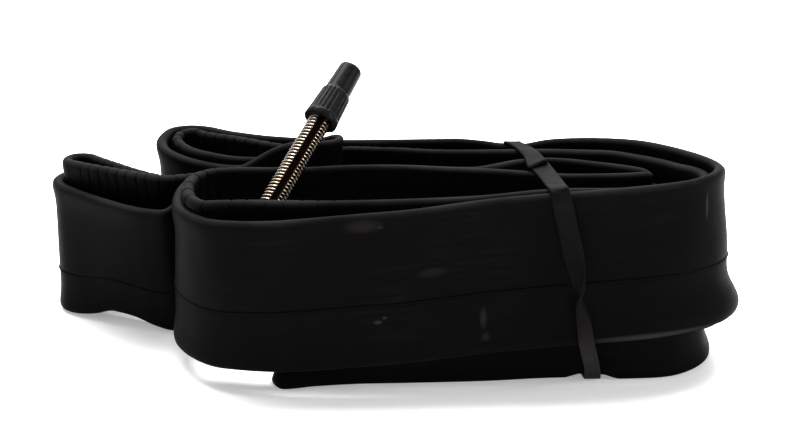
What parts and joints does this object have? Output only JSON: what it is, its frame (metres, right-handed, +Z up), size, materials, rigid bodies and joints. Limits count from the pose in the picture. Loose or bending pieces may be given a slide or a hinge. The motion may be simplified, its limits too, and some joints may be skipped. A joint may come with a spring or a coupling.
{
  "type": "bicycle inner tube",
  "caption": "Folded bicycle inner tube, standing on edge, held by a flat rubber band, with a threaded Presta valve and dust cap.",
  "frame": {"origin": "centre of the footprint's box, on the surface the bundle stands on", "axes": "+X along the folded bundle, +Z up; the valve side of the front loop faces +Y"},
  "size_m": [0.1804, 0.0832, 0.0722],
  "materials": {
    "butyl": "black butyl rubber, satin, lightly dusted with talc",
    "patch_rubber": "black moulded rubber, matte",
    "plated_brass": "nickel-plated brass, rolled thread",
    "core_brass": "turned brass",
    "seal_rubber": "soft black rubber",
    "cap_plastic": "black moulded plastic, semi-gloss",
    "band_rubber": "flat black rubber band, matte"
  },
  "bodies": {
    "bundle": {"inner_tube": "butyl", "valve_patch": "patch_rubber", "valve_stem": "plated_brass", "core_body": "core_brass", "core_seal": "seal_rubber", "rubber_band": "band_rubber"},
    "pin": {"core_pin": "core_brass", "pin_seal": "seal_rubber"},
    "nut": {"lock_nut": "core_brass"},
    "cap": {"dust_cap": "cap_plastic"}
  },
  "joints": [
    {"name": "cap_lift", "type": "slide", "parent": "bundle", "child": "cap", "axis": [0.4255, 0.6673, 0.6113], "range_m": [0, 0.022]},
    {"name": "pin_press", "type": "slide", "parent": "bundle", "child": "pin", "axis": [-0.4255, -0.6673, -0.6113], "range_m": [0, 0.002]},
    {"name": "nut_turn", "type": "hinge", "parent": "pin", "child": "nut", "pos_m": [-0.00925, 0.00442, 0.06517], "axis": [0.4255, 0.6673, 0.6113], "range_deg": [-720, 360]}
  ]
}
